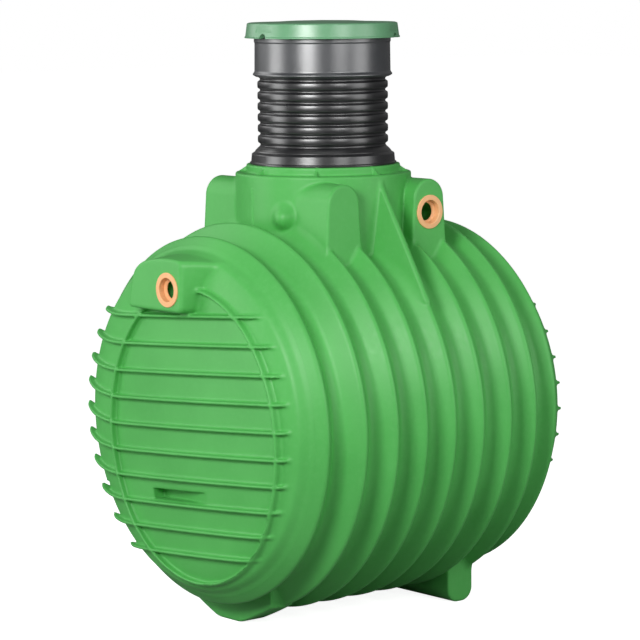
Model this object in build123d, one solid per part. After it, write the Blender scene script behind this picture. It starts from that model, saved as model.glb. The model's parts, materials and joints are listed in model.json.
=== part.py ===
import os
from math import atan2, cos, radians, sin, sqrt, tan

from build123d import *

os.makedirs("parts", exist_ok=True)

# Overall sizes in millimetres. The barrel lies along X and the neck stands up along Z.
# Every shape is drawn about the barrel's axis and lifted to the floor when it is written.
axis_height = 908
wall = 10
seat_gap = 0.3

# Ribbed barrel
ring_pitch = 166
rings_each_side = 4
middle_ring_radius = 875
second_ring_radius = 862
end_ring_radius = 808
ring_flank_angle = 47
crest_round = 24
valley_round = 62
barrel_half_length = 694
barrel_segments = 8

# Domed ends
end_valley_side = 735
end_valley_radius = 750
end_valley_round = 34
end_shoulder_radius = 752
end_shoulder_round = 30
end_plate_edge = 785
end_plate_centre = 797
dome_share = 0.75

# Crosswise ribs and oval rib on each end
rib_height = 26
rib_thickness = 12
rib_count = 10
rib_first_gap = 125
rib_gap_change = 2
rib_top_height = 475
rib_slope = 4.2
rib_full_radius = 735
rib_fade_radius = 775
rib_shift = 25
oval_shift = -65
oval_half_width = 575
oval_half_height = 650
oval_centre_height = -51
oval_thickness = 16

# Port boss on each end
end_port_height = 594
end_boss_face = 886
end_boss_right = 94
end_boss_left = 291
end_boss_bottom = 498
end_boss_top_radius = 728
end_boss_left_lean = 29
end_boss_shoulder_height = 640
end_boss_round = 28
end_boss_base_right = 205
end_boss_base_spread = 11
slot_side = 30
slot_height = -321
slot_length = 390
slot_width = 48
slot_depth = 38
small_slot_side = 640
small_slot_length = 52

# Pipe ports and their lip seals
port_hole_radius = 62
seal_bore_radius = 52
seal_lip_radius = 40
seal_flange_radius = 76
seal_flange_thickness = 8
seal_sleeve_length = 34
seal_lip_thickness = 4

# Neck
neck_radius = 395
neck_top = 1064
shoulder_radius = 345
shoulder_top = 1100
web_count = 8
web_thickness = 14
parting_rib_width = 7
parting_rib_depth = 6
parting_rib_top = 1003

# Bosses beside the neck
side_boss_offset = 1.5 * ring_pitch
side_boss_face = 435
side_boss_top = 1038
side_boss_top_round = 88
side_boss_half_width = 110
side_boss_foot = 640
side_port_height = 891
side_boss_edge_round = 16
nose_radius = 50
nose_height = 869
nose_side = 200
nose_reach = 395

# Gusset ribs between the neck and the middle ring
gusset_thickness = 44
gusset_head_height = 1036
gusset_head_side = 340
gusset_tail_height = 520
gusset_edge_round = 14

# Riser, its foot, the collar and the lid
riser_bore_radius = 276
riser_crest_radius = 293
riser_valley_radius = 282
riser_pitch = 48.7
riser_first_crest = 1211
riser_crests = 9
riser_crest_share = 0.56
foot_radius = 331
foot_band_top = 1123
foot_flare_radius = 318
foot_flare_top = 1148
foot_neck_radius = 301
foot_top = 1182
foot_chamfer = 6
foot_socket_rise = 8
collar_clearance = 0.5
collar_wall = 8
collar_bottom = 1490
collar_lip_radius = 313
collar_lip_height = 1501
collar_lip_width = 10
collar_lip_taper = 14
collar_lead = 4
collar_flange_radius = 338
collar_flange_thickness = 13
lid_bottom = 1662
lid_radius = 348
lid_top_radius = 337
lid_edge_height = 1727
lid_crown = 13
lid_rim_width = 20
lid_notch_radius = 22
lid_notch_turns = (60, 180, 300)
lid_edge_round = 8
lid_panel_width = 110
lid_panel_low = 1690
lid_panel_high = 1716
lid_panel_depth = 3

# Feet under the barrel
pad_offset = 508
pad_length = 124
pad_half_width = 87
pad_shoulder_side = 165
pad_shoulder_rise = 26
pad_tangent_side = 300
beam_offset = 447
beam_width = 150
beam_half_length = 420
beam_corner_round = 62
beam_top = 560


def save(shape, name):
    export_step(Pos(0, 0, axis_height) * shape, "parts/" + name + ".step")


def crest_radius(ring):
    """Crest radius of a ring counted from the middle one."""
    if abs(ring) == rings_each_side:
        return end_ring_radius
    if abs(ring) == rings_each_side - 1:
        return second_ring_radius
    return middle_ring_radius


def barrel_end_radius():
    """Radius where the barrel's wall ends, on the outer flank of the end ring."""
    outer_run = end_valley_side - rings_each_side * ring_pitch
    outer_lean = atan2(end_ring_radius - end_valley_radius, outer_run)
    peak = end_ring_radius + crest_round * (1 / cos(outer_lean) - 1)
    share = (barrel_half_length - rings_each_side * ring_pitch) / outer_run
    return peak + (end_valley_radius - peak) * share


def barrel_outline(inset):
    """Corners of the ribbed profile with their roundings, from -X to +X."""
    lean = radians(ring_flank_angle)
    lift = 1 / cos(lean) - 1
    drop = inset / cos(lean)
    ring_drop = ring_pitch / 2 * tan(lean) - (crest_round + valley_round) * lift
    edge = barrel_end_radius() - inset
    corners = [(-barrel_half_length, edge, 0)]
    for ring in range(-rings_each_side, rings_each_side + 1):
        peak = crest_radius(ring) + crest_round * lift - drop
        corners.append((ring * ring_pitch, peak, crest_round - inset))
        if ring < rings_each_side:
            mean = (crest_radius(ring) + crest_radius(ring + 1)) / 2
            low = mean - ring_drop - valley_round * lift - drop
            corners.append(((ring + 0.5) * ring_pitch, low, valley_round + inset))
    corners.append((barrel_half_length, edge, 0))
    return corners


def rounded_face(corners, closing):
    """Face in the XZ plane through rounded corners, closed by plain ones."""
    points = [(x, z) for x, z, _ in corners] + closing
    face = make_face(Polyline(*points, close=True))
    for x, z, radius in corners:
        if radius > 0:
            vertex = face.vertices().sort_by_distance((x, z, 0))[0]
            face = fillet(vertex, radius)
    return Plane.XZ * face


def barrel_solid():
    """Ribbed barrel as one full solid inside its skin."""
    closing = [(barrel_half_length, 0), (-barrel_half_length, 0)]
    return revolve(rounded_face(barrel_outline(0), closing), Axis.X)


def barrel_segment(index):
    """One lengthwise segment of the ribbed wall, turned about the barrel's axis."""
    turn = 360 / barrel_segments
    corners = barrel_outline(0) + barrel_outline(wall)[::-1]
    segment = revolve(rounded_face(corners, []), Axis.X, turn)
    return Rot((index - 0.5) * turn, 0, 0) * segment


def end_solid(inset=0):
    """Front end as a full solid from the barrel's edge to the domed plate."""
    low = barrel_half_length
    valley = (end_valley_side, end_valley_radius - inset)
    edge = (end_plate_edge - inset, end_shoulder_radius - inset)
    centre = (end_plate_centre - inset, 0)
    middle = (edge[0] + dome_share * (centre[0] - edge[0]), edge[1] / 2)
    outline = Polyline(edge, valley, (low, barrel_end_radius() - inset), (low, 0), centre)
    face = make_face(outline + ThreePointArc(centre, middle, edge))
    for corner, radius in ((edge, end_shoulder_round - inset), (valley, end_valley_round + inset)):
        vertex = face.vertices().sort_by_distance((corner[0], corner[1], 0))[0]
        face = fillet(vertex, radius)
    return mirror(revolve(Plane.XZ * face, Axis.X), Plane.YZ)


def slot_pocket(grow):
    """Two pockets in the end plate, the long one ramping out towards -Y."""
    half = slot_width / 2 + grow
    deep = slot_side + slot_length / 2 + grow
    points = [
        (end_plate_edge - slot_depth - grow, deep),
        (end_plate_centre, deep),
        (end_plate_centre, slot_side - slot_length / 2 - grow),
        (end_plate_edge - grow, slot_side - slot_length / 2 - grow),
    ]
    long_slot = extrude(make_face(Polyline(*points, close=True)), half, both=True)
    small_length = small_slot_length / 2 + grow
    small_points = [
        (end_plate_edge - slot_depth / 2 - grow, small_length),
        (end_plate_centre, small_length),
        (end_plate_centre, -small_length),
        (end_plate_edge - slot_depth / 2 - grow, -small_length),
    ]
    small_slot = extrude(make_face(Polyline(*small_points, close=True)), half, both=True)
    pockets = long_slot + Pos(0, small_slot_side, 0) * small_slot
    return Pos(0, 0, slot_height) * Rot(-rib_slope, 0, 0) * mirror(pockets, Plane.YZ)


def rib_envelope(height):
    """Layer over the end plate that the ribs fill, fading out at the shoulder."""
    low = end_valley_side
    edge = end_plate_edge + height
    centre = end_plate_centre + height
    points = [(low, 0), (centre, 0), (edge, rib_full_radius), (low, rib_fade_radius)]
    face = make_face(Polyline(*points, close=True))
    return Pos(0, rib_shift, 0) * mirror(revolve(Plane.XZ * face, Axis.X), Plane.YZ)


def rib_height_at(index):
    return rib_top_height - index * rib_first_gap + index * (index - 1) / 2 * rib_gap_change


def end_boss_outline(right_low, right_high, spread):
    """Outline of the end port boss in Y and Z, grown on the other sides by a spread."""
    left = end_boss_left + spread
    top = end_boss_top_radius + spread
    bottom = end_boss_bottom - spread
    lean = end_boss_left_lean
    crown_left = left - lean - 3 * end_boss_round / 2
    start = (-right_high, sqrt(top**2 - right_high**2))
    finish = (crown_left, sqrt(top**2 - crown_left**2))
    crown_side = (start[0] + finish[0]) / 2
    crown_mid = (crown_side, sqrt(top**2 - crown_side**2))
    shoulder = (left - lean, end_boss_shoulder_height)
    sides = Polyline(finish, shoulder, (left, bottom), (-right_low, bottom), start)
    return make_face(sides + ThreePointArc(start, crown_mid, finish))


def end_boss_solid(inset):
    """End port boss as a full solid that widens towards the plate."""
    right = end_boss_right - inset
    front = Plane(origin=(inset - end_boss_face, 0, 0), x_dir=(0, 1, 0), z_dir=(1, 0, 0))
    base = Plane(origin=(wall + 1 - end_plate_edge, 0, 0), x_dir=(0, 1, 0), z_dir=(1, 0, 0))
    spread = end_boss_base_spread
    front_face = front * end_boss_outline(right, right, -inset)
    base_face = base * end_boss_outline(right + spread, end_boss_base_right - inset, spread - inset)
    return loft([front_face, base_face])


def port_cylinder(radius, length):
    """Cylinder on a port's own axis, which runs into the tank from its origin."""
    return Pos(0, 0, length / 2) * Cylinder(radius, length)


end_port = Plane(origin=(-end_boss_face, 0, end_port_height), z_dir=(1, 0, 0))
side_port = Plane(origin=(side_boss_offset, -side_boss_face, side_port_height), z_dir=(0, 1, 0))


def seal():
    """Lip seal about its own Z axis, with its flange outside the wall."""
    sleeve = port_hole_radius - seat_gap
    lip_face = seal_sleeve_length - seal_lip_thickness
    points = [
        (seal_bore_radius, -seal_flange_thickness),
        (seal_flange_radius, -seal_flange_thickness),
        (seal_flange_radius, 0),
        (sleeve, 0),
        (sleeve, seal_sleeve_length),
        (seal_lip_radius, seal_sleeve_length),
        (seal_lip_radius, lip_face),
        (seal_bore_radius, lip_face - seal_lip_thickness),
    ]
    return revolve(Plane.XZ * make_face(Polyline(*points, close=True)), Axis.Z)


def neck_tube():
    height = neck_top - side_boss_foot
    outer = Pos(0, 0, side_boss_foot + height / 2) * Cylinder(neck_radius, height)
    inner = Pos(0, 0, side_boss_foot + height / 2) * Cylinder(neck_radius - wall, height)
    return outer - inner


def neck_plug():
    """Full cylinder under the neck, from the barrel's axis to the neck's top."""
    return Pos(0, 0, neck_top / 2) * Cylinder(neck_radius, neck_top)


def upright_wedge(middle, width, low, high):
    """Wedge about the neck's axis between two heights."""
    reach = 2 * neck_radius
    half = radians(width / 2)
    points = [(0, 0), (reach * cos(half), -reach * sin(half)), (reach * cos(half), reach * sin(half))]
    slab = extrude(make_face(Polyline(*points, close=True)), high - low)
    return Rot(0, 0, middle) * Pos(0, 0, low) * slab


def neck_shoulder():
    """Stepped ring on the neck with its webs and the seat of the riser."""
    ledge = neck_top - wall
    points = [
        (neck_radius - wall - seat_gap, ledge),
        (neck_radius - wall - seat_gap, neck_top),
        (neck_radius, neck_top),
        (neck_radius - wall, neck_top + wall),
        (shoulder_radius, neck_top + wall),
        (shoulder_radius, shoulder_top),
        (riser_bore_radius, shoulder_top),
        (riser_bore_radius, shoulder_top - wall),
        (shoulder_radius - wall, shoulder_top - wall),
        (shoulder_radius - wall, ledge),
    ]
    ring = revolve(Plane.XZ * make_face(Polyline(*points, close=True)), Axis.Z)
    web_points = [
        (shoulder_radius - wall / 2, neck_top + wall / 2),
        (neck_radius - wall, neck_top + wall / 2),
        (neck_radius - wall, neck_top + wall),
        (shoulder_radius, shoulder_top),
        (shoulder_radius - wall / 2, shoulder_top),
    ]
    web = extrude(Plane.XZ * make_face(Polyline(*web_points, close=True)), web_thickness / 2, both=True)
    for index in range(web_count):
        ring = ring + Rot(0, 0, index * 360 / web_count) * web
    return ring


def side_boss_outline(inset):
    """Arch-topped outline of a side boss in X and Z."""
    top_round = side_boss_top_round - inset
    spring = side_boss_top - side_boss_top_round
    half = side_boss_half_width - inset
    sides = Polyline((-top_round, spring), (-half, side_boss_foot), (half, side_boss_foot), (top_round, spring))
    arch = ThreePointArc((top_round, spring), (0, spring + top_round), (-top_round, spring))
    return make_face(sides + arch)


def side_boss_solid(offset, inset):
    """Side boss on the -Y side of the neck as a full solid inside its skin."""
    face_plane = Plane(origin=(offset, inset - side_boss_face, 0), x_dir=(1, 0, 0), z_dir=(0, -1, 0))
    return extrude(face_plane * side_boss_outline(inset), -side_boss_face)


def side_boss(skin, plug, offset):
    """Hollow side boss with a rounded front edge, open towards the tank."""
    outer = side_boss_solid(offset, 0)
    front = outer.faces().sort_by(Axis.Y)[0]
    outer = fillet(front.edges().sort_by(Axis.Z)[1:], side_boss_edge_round)
    return outer - side_boss_solid(offset, wall) - plug - skin


def nose(skin, plug):
    """Rounded conduit nose beside the blank boss."""
    length = nose_reach - side_boss_offset
    pipe = Pos(-side_boss_offset - length / 2, -nose_side, nose_height) * Rot(0, 90, 0)
    body = pipe * Cylinder(nose_radius, length)
    body = body + Pos(-nose_reach, -nose_side, nose_height) * Sphere(nose_radius)
    return body - side_boss_solid(-side_boss_offset, 0) - plug - skin


def gusset(skin, plug):
    """Rib from the neck's head down to the middle ring, on the -Y side."""
    reach = middle_ring_radius
    tail_side = sqrt(reach**2 - gusset_tail_height**2)
    points = [
        (-gusset_head_side, gusset_head_height),
        (-tail_side, gusset_tail_height),
        (-gusset_head_side, gusset_tail_height),
    ]
    plate = extrude(Plane.YZ * make_face(Polyline(*points, close=True)), gusset_thickness / 2, both=True)
    ridge = plate.faces().sort_by(Axis.Z)[-2:].sort_by(Axis.Y)[0]
    long_edges = ridge.edges().filter_by(GeomType.LINE).sort_by(SortBy.LENGTH)[-2:]
    return fillet(long_edges, gusset_edge_round) - plug - skin


def parting_rib(skin, plug):
    height = parting_rib_top - side_boss_foot
    slab = Pos(neck_radius, 0, side_boss_foot + height / 2) * Box(
        2 * parting_rib_depth, parting_rib_width, height
    )
    return slab - plug - skin


def riser_foot():
    points = [
        (riser_bore_radius, shoulder_top),
        (foot_radius, shoulder_top),
        (foot_radius, foot_band_top - foot_chamfer),
        (foot_radius - foot_chamfer, foot_band_top),
        (foot_flare_radius + foot_chamfer, foot_band_top),
        (foot_flare_radius, foot_flare_top),
        (foot_neck_radius, foot_top - foot_socket_rise),
        (riser_valley_radius, foot_top),
        (riser_bore_radius, foot_top),
    ]
    return revolve(Plane.XZ * make_face(Polyline(*points, close=True)), Axis.Z)


def riser_profile():
    """Wall of the corrugated riser in X and Z, from its foot to the collar's flange."""
    top = lid_bottom - collar_flange_thickness - seat_gap
    half = riser_crest_share * riser_pitch / 2
    slope = riser_pitch / 10
    points = [(riser_bore_radius, foot_top), (riser_valley_radius, foot_top)]
    for crest in range(riser_crests):
        z = riser_first_crest + crest * riser_pitch
        points.append((riser_valley_radius, z - half))
        points.append((riser_crest_radius, z - half + slope))
        points.append((riser_crest_radius, z + half - slope))
        points.append((riser_valley_radius, z + half))
    points.append((riser_valley_radius, top))
    points.append((riser_bore_radius, top))
    return Plane.XZ * make_face(Polyline(*points, close=True))


def collar():
    bore = riser_crest_radius + collar_clearance
    outside = bore + collar_wall
    under = lid_bottom - collar_flange_thickness
    points = [
        (bore, collar_bottom),
        (outside - collar_lead, collar_bottom),
        (collar_lip_radius, collar_lip_height),
        (collar_lip_radius, collar_lip_height + collar_lip_width),
        (outside, collar_lip_height + collar_lip_width + collar_lip_taper),
        (outside, under),
        (collar_flange_radius, under),
        (collar_flange_radius, lid_bottom),
        (riser_bore_radius, lid_bottom),
        (riser_bore_radius, under),
        (bore, under),
    ]
    return revolve(Plane.XZ * make_face(Polyline(*points, close=True)), Axis.Z)


def lid():
    """Shallow dish lid that rests on the collar's flange, with three notches."""
    low = lid_bottom + seat_gap
    crown = lid_edge_height + lid_crown
    inner = lid_radius - lid_rim_width
    points = [
        (0, low + wall),
        (inner - 2 * wall, low + wall),
        (inner, low),
        (lid_radius, low),
        (lid_radius, low + wall / 2),
        (lid_top_radius, lid_edge_height - lid_edge_round),
        (lid_top_radius - lid_edge_round, lid_edge_height),
        (lid_radius / 2, crown - lid_crown / 4),
        (0, crown),
    ]
    body = revolve(Plane.XZ * make_face(Polyline(*points, close=True)), Axis.Z)
    notch = Pos(lid_radius, 0, low) * Rot(0, 90, 0) * Cylinder(lid_notch_radius, 2 * wall)
    panel_height = lid_panel_high - lid_panel_low
    panel_side = lid_top_radius - lid_panel_depth + wall / 2
    panel = Pos(panel_side, 0, lid_panel_low + panel_height / 2) * Box(wall, lid_panel_width, panel_height)
    for turn in lid_notch_turns:
        body = body - Rot(0, 0, turn) * (notch + panel)
    return body


def foot_pad(skin):
    """Pad under the front of the barrel, blended out to its second ring."""
    tangent_height = -sqrt(second_ring_radius**2 - pad_tangent_side**2)
    half = [
        (pad_half_width, -axis_height),
        (pad_shoulder_side, -axis_height + pad_shoulder_rise),
        (pad_tangent_side, tangent_height),
        (pad_tangent_side, -beam_top),
    ]
    points = half + [(-y, z) for y, z in reversed(half)]
    plate = extrude(Plane.YZ * make_face(Polyline(*points, close=True)), pad_length / 2, both=True)
    return Pos(-pad_offset, 0, 0) * plate - skin


def foot_beam(skin):
    """Crosswise beam under the rear of the barrel with a rounded underside."""
    half = beam_width / 2
    points = [(-half, -beam_top), (-half, -axis_height), (half, -axis_height), (half, -beam_top)]
    face = make_face(Polyline(*points, close=True))
    face = fillet(face.vertices().sort_by(Axis.Y)[:2], beam_corner_round)
    bar = extrude(Plane.XZ * face, beam_half_length, both=True)
    return Pos(beam_offset, 0, 0) * bar - skin


def half_turn(shape):
    """The same moulding on the opposite side of the neck's axis."""
    return Rot(0, 0, 180) * shape


skin = barrel_solid()
plug = neck_plug()
neck_bore = Pos(0, 0, neck_top / 2) * Cylinder(neck_radius - wall, neck_top)

for index in range(barrel_segments):
    save(barrel_segment(index) - neck_bore, "barrel_segment_" + str(index + 1))

end_full = end_solid()
boss_full = end_boss_solid(0)
boss_hollow = end_boss_solid(wall)
end_hollow = end_solid(wall) - slot_pocket(wall)
end_shell = end_full - slot_pocket(0) - end_hollow - boss_hollow
boss = boss_full - boss_hollow - end_full
boss = boss - end_port.location * port_cylinder(port_hole_radius, 3 * wall)
boss = boss.solids().sort_by(SortBy.VOLUME)[-1]

ribs = None
for index in range(rib_count):
    slab = Pos(-end_plate_centre, 0, rib_height_at(index)) * Rot(-rib_slope, 0, 0) * Box(
        2 * end_plate_centre, 2 * end_plate_centre, rib_thickness
    )
    ribs = slab if ribs is None else ribs + slab
oval_centre = (-2 * end_plate_centre, oval_shift, oval_centre_height)
oval_plane = Plane(origin=oval_centre, x_dir=(0, 1, 0), z_dir=(1, 0, 0))
oval_outer = Ellipse(oval_half_width + oval_thickness / 2, oval_half_height + oval_thickness / 2)
oval_inner = Ellipse(oval_half_width - oval_thickness / 2, oval_half_height - oval_thickness / 2)
ribs = ribs + extrude(oval_plane * (oval_outer - oval_inner), 2 * end_plate_centre)
grille = (ribs & rib_envelope(rib_height)) - end_full - boss_full
grille = grille.solids().sort_by(SortBy.VOLUME)[-1]

save(end_shell, "front_end")
save(half_turn(end_shell), "rear_end")
save(boss, "front_port_boss")
save(half_turn(boss), "rear_port_boss")
save(grille, "front_end_ribs")
save(half_turn(grille), "rear_end_ribs")

port_tool = side_port.location * port_cylinder(port_hole_radius, 2 * neck_radius)
neck = neck_tube() - skin - port_tool - half_turn(port_tool)
for index in range(4):
    piece = neck & upright_wedge(90 * index, 90, 0, neck_top)
    save(piece, "neck_wall_" + str(index + 1))
save(neck_shoulder(), "neck_shoulder")

blank_boss = side_boss(skin, plug, -side_boss_offset)
port_boss = side_boss(skin, plug, side_boss_offset) - side_port.location * port_cylinder(
    port_hole_radius, 3 * wall
)
save(blank_boss, "blank_boss_front")
save(half_turn(blank_boss), "blank_boss_back")
save(port_boss, "port_boss_front")
save(half_turn(port_boss), "port_boss_back")

conduit_nose = nose(skin, plug)
save(conduit_nose, "conduit_nose_front")
save(half_turn(conduit_nose), "conduit_nose_back")

side_gusset = gusset(skin, plug)
save(side_gusset, "gusset_front")
save(half_turn(side_gusset), "gusset_back")

rib = parting_rib(skin, plug)
save(rib, "parting_rib_right")
save(half_turn(rib), "parting_rib_left")

end_seal = end_port.location * seal()
side_seal = side_port.location * seal()
save(end_seal, "front_port_seal")
save(half_turn(end_seal), "rear_port_seal")
save(side_seal, "side_port_seal_front")
save(half_turn(side_seal), "side_port_seal_back")

save(riser_foot(), "riser_foot")
for index in range(4):
    section = revolve(riser_profile(), Axis.Z, 90)
    save(Rot(0, 0, 90 * index + 45) * section, "riser_wall_" + str(index + 1))
save(collar(), "collar")
save(lid(), "lid")

save(foot_pad(skin), "front_foot_pad")
save(foot_beam(skin), "rear_foot_beam")
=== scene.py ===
import json
import math

import bmesh
import bpy
import numpy as np
from mathutils import Matrix, Vector


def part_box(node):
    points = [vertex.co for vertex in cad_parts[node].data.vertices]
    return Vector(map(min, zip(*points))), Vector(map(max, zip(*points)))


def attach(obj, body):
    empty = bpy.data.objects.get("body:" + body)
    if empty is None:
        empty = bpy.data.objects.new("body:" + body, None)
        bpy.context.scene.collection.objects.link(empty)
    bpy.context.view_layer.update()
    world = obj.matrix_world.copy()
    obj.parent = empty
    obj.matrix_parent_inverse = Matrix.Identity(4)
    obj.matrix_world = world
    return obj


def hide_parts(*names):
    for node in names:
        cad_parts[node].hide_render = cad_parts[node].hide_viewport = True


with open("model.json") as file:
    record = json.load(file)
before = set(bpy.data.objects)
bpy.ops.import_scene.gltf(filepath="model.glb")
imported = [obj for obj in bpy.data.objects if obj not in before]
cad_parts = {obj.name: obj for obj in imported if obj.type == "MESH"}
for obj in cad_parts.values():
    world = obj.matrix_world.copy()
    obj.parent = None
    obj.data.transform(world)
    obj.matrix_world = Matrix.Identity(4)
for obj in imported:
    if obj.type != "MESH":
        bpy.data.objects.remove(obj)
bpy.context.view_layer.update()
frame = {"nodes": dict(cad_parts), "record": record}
scene = bpy.context.scene
scene.view_settings.view_transform = "Standard"
axisHeight = 0.908  # the barrel's axis above the floor; moulded shapes are drawn about it


# Shared helpers

def meshObject(name, verts, faces, material, smooth=True):
    mesh = bpy.data.meshes.new(name)
    mesh.from_pydata(verts, [], faces)
    mesh.materials.append(material)
    piece = bpy.data.objects.new(name, mesh)
    scene.collection.objects.link(piece)
    mesh.polygons.foreach_set("use_smooth", [smooth] * len(mesh.polygons))
    mesh.update()
    return piece


def outwardFaces(piece):
    shape = bmesh.new()
    shape.from_mesh(piece.data)
    bmesh.ops.recalc_face_normals(shape, faces=shape.faces)
    shape.to_mesh(piece.data)
    shape.free()


def dressed(piece, slot, *nodes, body="tank"):
    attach(piece, body)
    if nodes:
        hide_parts(*nodes)
    print("piece", piece.name, len(piece.data.polygons))


def noiseTexture(tree, scale, detail=4, roughness=0.5):
    coords = tree.nodes.new("ShaderNodeTexCoord")
    noise = tree.nodes.new("ShaderNodeTexNoise")
    noise.inputs["Scale"].default_value = scale
    noise.inputs["Detail"].default_value = detail
    noise.inputs["Roughness"].default_value = roughness
    tree.links.new(coords.outputs["Object"], noise.inputs["Vector"])
    return noise.outputs["Fac"]


def rangeOf(tree, value, low, high, fromLow=0.3, fromHigh=0.7):
    spread = tree.nodes.new("ShaderNodeMapRange")
    spread.inputs["From Min"].default_value = fromLow
    spread.inputs["From Max"].default_value = fromHigh
    spread.inputs["To Min"].default_value = low
    spread.inputs["To Max"].default_value = high
    tree.links.new(value, spread.inputs["Value"])
    return spread.outputs["Result"]


def colourMix(tree, fac, first, second):
    mix = tree.nodes.new("ShaderNodeMix")
    mix.data_type = "RGBA"
    tree.links.new(fac, mix.inputs["Factor"])
    for socket, value in ((mix.inputs[6], first), (mix.inputs[7], second)):
        if isinstance(value, tuple):
            socket.default_value = (*value, 1)
        else:
            tree.links.new(value, socket)
    return mix.outputs[2]


# Materials

plasticLook = {
    "lit": (0.098, 0.480, 0.104),
    "deep": (0.080, 0.425, 0.086),
    "chalk": (0.125, 0.500, 0.135),
    "roughness": (0.40, 0.50),
    "specular": 0.4,
    "coat": 0.0,
    "coatRoughness": 0.34,
    "cloudScale": 3.0,
    "fineRatio": 14,
    "chalkShare": 0.35,
    "chalkRange": (0.45, 0.8),
    "grainScale": 420,
    "grainStrength": 0.5,
    "grainDepth": 0.00012,
}
shaderLabels = {
    "specular": "Specular IOR Level",
    "coat": "Coat Weight",
    "coatRoughness": "Coat Roughness",
    "ior": "IOR",
}


def mouldedPlastic(name, look):
    material = bpy.data.materials.new(name)
    material.use_nodes = True
    material.diffuse_color = (*look["lit"], 1)
    tree = material.node_tree
    shader = tree.nodes["Principled BSDF"]
    low, high = look["roughness"]
    shader.inputs["Base Color"].default_value = (*look["lit"], 1)
    shader.inputs["Roughness"].default_value = low
    for key, label in shaderLabels.items():
        if key in look:
            shader.inputs[label].default_value = look[key]
    cloud = noiseTexture(tree, look["cloudScale"], 3)
    fine = noiseTexture(tree, look["cloudScale"] * look["fineRatio"], 5, 0.6)
    colour = colourMix(tree, rangeOf(tree, cloud, 0, 1), look["deep"], look["lit"])
    chalk = rangeOf(tree, fine, 0, look["chalkShare"], *look["chalkRange"])
    colour = colourMix(tree, chalk, colour, look["chalk"])
    tree.links.new(colour, shader.inputs["Base Color"])
    tree.links.new(rangeOf(tree, fine, low, high), shader.inputs["Roughness"])
    grain = noiseTexture(tree, look["grainScale"], 2)
    bump = tree.nodes.new("ShaderNodeBump")
    bump.inputs["Strength"].default_value = look["grainStrength"]
    bump.inputs["Distance"].default_value = look["grainDepth"]
    tree.links.new(grain, bump.inputs["Height"])
    tree.links.new(bump.outputs["Normal"], shader.inputs["Normal"])
    return material


tankGreen = mouldedPlastic("tankGreen", plasticLook)
lidGreen = mouldedPlastic("lidGreen", {
    **plasticLook, "lit": (0.140, 0.390, 0.190), "deep": (0.120, 0.340, 0.165), "chalk": (0.19, 0.44, 0.25),
    "roughness": (0.30, 0.38), "specular": 0.8, "coat": 0.4,
})
pipeBlack = mouldedPlastic("pipeBlack", {
    **plasticLook, "lit": (0.006, 0.0063, 0.0075), "deep": (0.004, 0.0043, 0.0055),
    "chalk": (0.010, 0.010, 0.012), "roughness": (0.27, 0.33), "specular": 1.0, "coat": 0.7,
})
collarGrey = mouldedPlastic("collarGrey", {
    **plasticLook, "lit": (0.040, 0.043, 0.049), "deep": (0.032, 0.035, 0.041),
    "chalk": (0.052, 0.055, 0.062), "roughness": (0.30, 0.36), "specular": 1.0, "coat": 1.0, "ior": 1.65,
})
sealOrange = mouldedPlastic("sealOrange", {
    **plasticLook, "lit": (0.98, 0.53, 0.25), "deep": (0.93, 0.45, 0.19), "chalk": (1.0, 0.64, 0.36),
    "roughness": (0.42, 0.52), "specular": 0.5,
})
print("materials made")

slotMaterials = {
    "green_tank": tankGreen,
    "green_lid": lidGreen,
    "black_pipe": pipeBlack,
    "grey_collar": collarGrey,
    "orange_rubber": sealOrange,
}
for subpart in frame["record"]["subparts"]:
    node = frame["nodes"][subpart["node"]]
    node.data.materials.clear()
    node.data.materials.append(slotMaterials[subpart["material_slot"]])
print("frame dressed")


# Node trees for shapes that follow a rule

def fillInputs(tree, node, values):
    for socket, value in zip(node.inputs, values):
        if isinstance(value, (int, float)):
            socket.default_value = value
        else:
            tree.links.new(value, socket)


def mathNode(tree, operation, *values):
    node = tree.nodes.new("ShaderNodeMath")
    node.operation = operation
    fillInputs(tree, node, values)
    return node.outputs[0]


def combine(tree, x, y, z):
    node = tree.nodes.new("ShaderNodeCombineXYZ")
    fillInputs(tree, node, (x, y, z))
    return node.outputs[0]


def aboutAxis(tree, radius, angle):
    return (mathNode(tree, "MULTIPLY", radius, mathNode(tree, "COSINE", angle)),
            mathNode(tree, "MULTIPLY", radius, mathNode(tree, "SINE", angle)))


def newTree(name, inputs):
    tree = bpy.data.node_groups.new(name, "GeometryNodeTree")
    tree.interface.new_socket("Geometry", in_out="OUTPUT", socket_type="NodeSocketGeometry")
    for label, value in inputs.items():
        kind = "NodeSocketInt" if isinstance(value, int) else "NodeSocketFloat"
        tree.interface.new_socket(label, in_out="INPUT", socket_type=kind).default_value = value
    entry = tree.nodes.new("NodeGroupInput")
    return tree, {label: entry.outputs[label] for label in inputs}


def closeTree(tree, geometry, material):
    real = tree.nodes.new("GeometryNodeRealizeInstances")
    paint = tree.nodes.new("GeometryNodeSetMaterial")
    paint.inputs["Material"].default_value = material
    out = tree.nodes.new("NodeGroupOutput")
    tree.links.new(geometry, real.inputs[0])
    tree.links.new(real.outputs[0], paint.inputs["Geometry"])
    tree.links.new(paint.outputs["Geometry"], out.inputs[0])


def grown(tree, name, values):
    holder = bpy.data.objects.new(name + "Rule", bpy.data.meshes.new(name + "Rule"))
    scene.collection.objects.link(holder)
    modifier = holder.modifiers.new("rule", "NODES")
    modifier.node_group = tree
    for item in tree.interface.items_tree:
        if item.in_out == "INPUT" and item.name in values:
            modifier[item.identifier] = values[item.name]
    holder.update_tag()
    bpy.context.view_layer.update()
    mesh = bpy.data.meshes.new_from_object(holder.evaluated_get(bpy.context.evaluated_depsgraph_get()))
    bpy.data.objects.remove(holder)
    mesh.name = name
    piece = bpy.data.objects.new(name, mesh)
    scene.collection.objects.link(piece)
    mesh.polygons.foreach_set("use_smooth", [True] * len(mesh.polygons))
    return piece


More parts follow.
